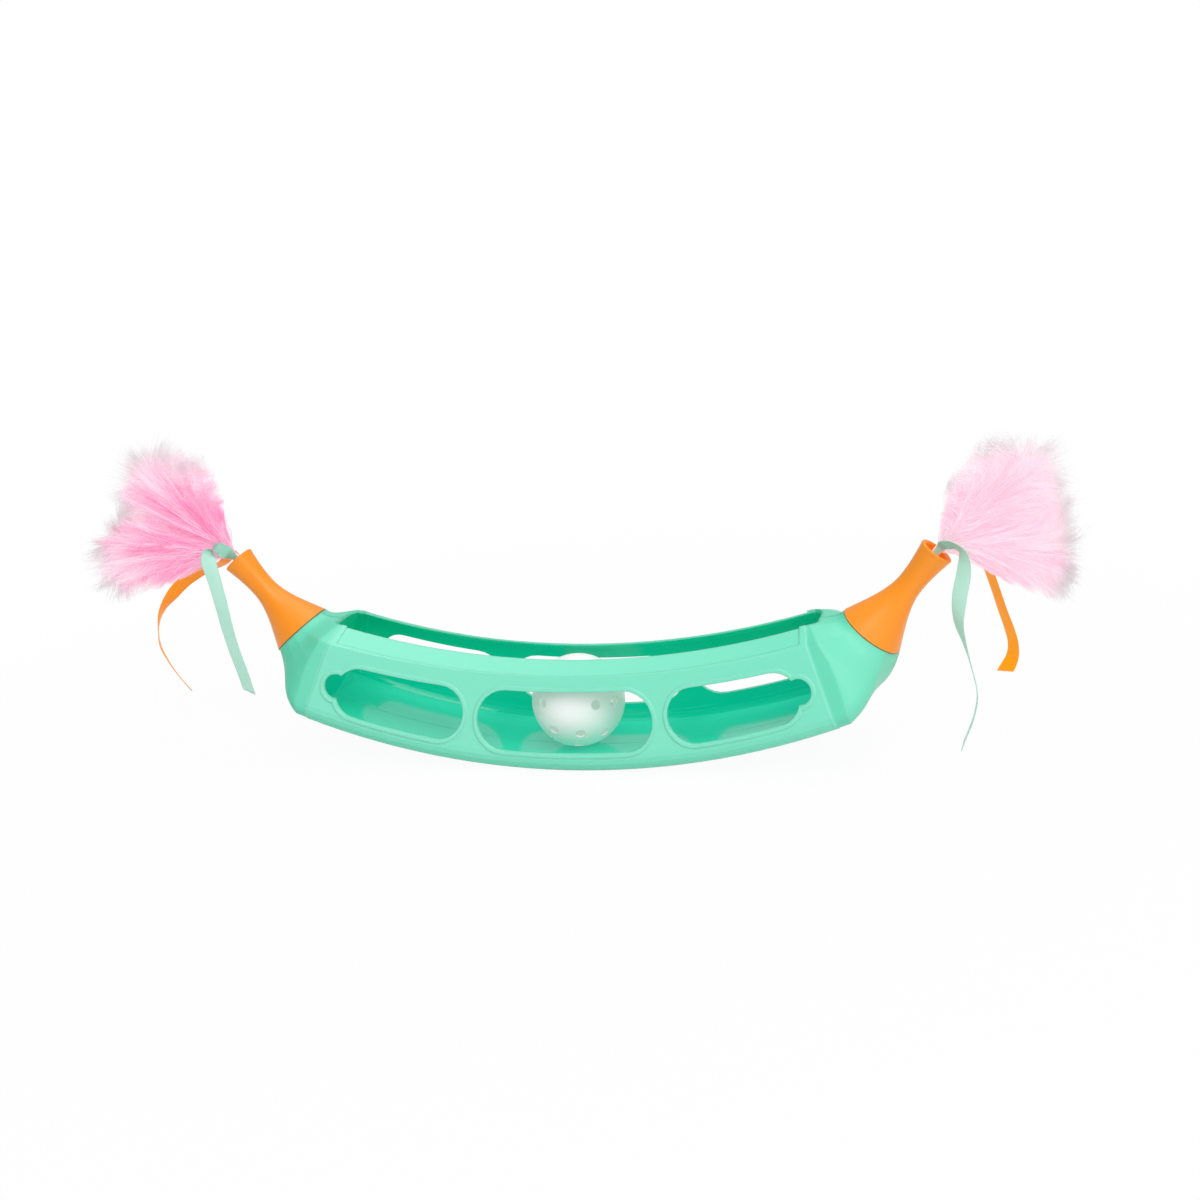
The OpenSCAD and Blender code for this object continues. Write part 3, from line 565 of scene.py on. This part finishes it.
def mint_plastic():
    """Mint plastic, satin outside and glossy inside. Outside it has painted light and shade: a lit
    and a shaded tint mixed by how a face turns to the light, a painted highlight on the thin lips
    and painted shade on the necks. Inside it is painted a deep green, painted shade and light that
    has crossed from wall to wall, paler on faces turned up as a painted reflection of the light
    above, and it has a painted glow, dimmer higher up.
    look is the cosine between a face, its narrowest ledges smoothed, and the way out from the line:
    with z counted from the middle of the bend, r the distance from it and d = r - LINE_R, that way
    is (x d / r, y, z d / r)."""
    f = Finish("mint_plastic")
    at, (x, y, z) = f.place()
    turned = f.node("ShaderNodeTexCoord", {}, [], out="Normal")
    nx, ny, nz = (f.node("ShaderNodeSeparateXYZ", {}, [turned], out=k) for k in range(3))
    up = z - BEND
    r = (x * x + up * up).sqrt()
    d = r - LINE_R
    crisp = f.node("ShaderNodeBevel", {"samples": 8}, {"Radius": 0.0008})
    bx, by, bz = (f.node("ShaderNodeSeparateXYZ", {}, [crisp], out=k) for k in range(3))
    look = ((bx * x + bz * up) * d / r + by * y) / (d * d + y * y).sqrt()
    outer = look.step(-0.61, -0.51)
    facet = f.node("ShaderNodeNewGeometry", {}, [], out="True Normal")
    round_ = f.node("ShaderNodeBevel", {"samples": 8}, {"Radius": 0.0025})
    neck = (x.abs() - (BEND - z) * math.tan(math.radians(PANEL_DEG))).step(0.0003, 0.0015)
    soft = f.node("ShaderNodeMix", {"data_type": "VECTOR"}, {0: neck, 4: crisp, 5: round_}, out=1)
    same = f.node("ShaderNodeVectorMath", {"operation": "DOT_PRODUCT"}, [facet, crisp], out="Value")
    # Painted highlight mask: edges where the smoothed normal leaves the face's own.
    lip_highlight = (1.0 - same).step(0.01, 0.12) * (1.0 - neck)
    flow = f.noise(at, 22.0, 3)
    grain = f.noise(at, 2600.0, 2)
    # Painted light and shade: faces turned to the light get the lit tint, faces turned away the
    # shaded tint.
    lit = (nx * 0.9 + nz * 0.35 - ny * 0.4).step(-0.8, 0.9)
    skin = f.mix(lit, srgb(30, 212, 168), srgb(141, 235, 206))
    skin = f.mix(flow * 0.2, skin, srgb(112, 226, 192))
    # Painted shade: the necks are darkened.
    skin = f.mix(neck * 0.4, skin, srgb(66, 206, 164))
    # Painted highlight on the thin lips.
    skin = f.mix(lip_highlight * 0.5, skin, srgb(172, 242, 222))
    # Inside: a deep green, painted shade and light crossed from wall to wall; faces turned up are
    # paler, a painted reflection of the light above.
    deep = f.mix(flow, srgb(0, 178, 132), srgb(0, 196, 152))
    deep = f.mix(nz.step(0.85, 0.99) * 0.5, deep, srgb(96, 216, 184))
    # Painted glow inside, dimmer higher up under the roof.
    glow = f.mix(z.step(0.02, 0.05), (0.0, 0.17, 0.13), (0.0, 0.115, 0.065))
    return f.set(Base_Color=f.mix(outer, deep, skin), Roughness=outer * 0.26 + 0.12,
                 Normal=f.bump(grain, 0.00002, 0.5, soft), Coat_Weight=(1.0 - outer) * 0.6,
                 Coat_Roughness=0.08, Specular_IOR_Level=0.4,
                 Emission_Color=f.mix(outer, glow, (0.0, 0.0, 0.0)), Emission_Strength=1.0)


def orange_plastic():
    """Orange plastic, satin, with faint flow lines along the cap and painted shade, a dark line in
    the gap where it meets the neck. s is the distance from the cap's base, along it."""
    f = Finish("orange_plastic")
    at, (x, y, z) = f.place()
    flow = f.noise(f.node("ShaderNodeMapping", {}, {"Vector": at, "Scale": (30, 60, 12)}), 1.0, 3)
    grain = f.noise(at, 2600.0, 2)
    soft = f.node("ShaderNodeBevel", {"samples": 6}, {"Radius": 0.0004})
    s = (x.abs() - float(COLLAR[0])) * float(OUT[0]) + (z - float(COLLAR[2])) * float(OUT[2])
    tint = f.mix(flow, srgb(255, 145, 4), srgb(255, 154, 14))
    # Painted shade in the gap at the cap's base.
    tint = f.mix(s.step(0.00025, 0.0006), srgb(120, 70, 20), tint)
    return f.set(Base_Color=tint, Roughness=0.38,
                 Normal=f.bump(grain, 0.00002, 0.5, soft), Coat_Weight=0.1, Coat_Roughness=0.3)


def ball_plastic():
    """Thin white plastic that lets light through, shown as a painted glow that is stronger and
    greenish inside. Its inside, seen through the holes, is painted a soft grey green: painted shade
    with a green tint.
    """
    f = Finish("white_plastic")
    at, (x, y, z) = f.place()
    lift = z - float(BALL[2])
    inner = (x * x + y * y + lift * lift).sqrt().step(0.0188, 0.0199)
    cloud = f.noise(at, 60.0, 3)
    grain = f.noise(at, 3000.0, 2)
    soft = f.node("ShaderNodeBevel", {"samples": 6}, {"Radius": 0.0004})
    shell = f.mix(cloud, srgb(236, 242, 240), srgb(242, 246, 244))
    # Inside: painted shade, grey green. Emission: a painted glow, stronger inside.
    return f.set(Base_Color=f.mix(inner, srgb(190, 210, 201), shell), Roughness=0.4,
                 Emission_Color=f.mix(inner, (0.19, 0.22, 0.195), (0.105, 0.08, 0.095)),
                 Emission_Strength=1.0, Normal=f.bump(grain, 0.00002, 0.4, soft))


moulded = {"shell": mint_plastic(), "cap": orange_plastic(), "half": ball_plastic()}
for name, solid in nodes.items():
    finish = moulded.get(name.split("_")[-1])
    if finish is not None:
        for place in solid.material_slots:
            place.material = finish
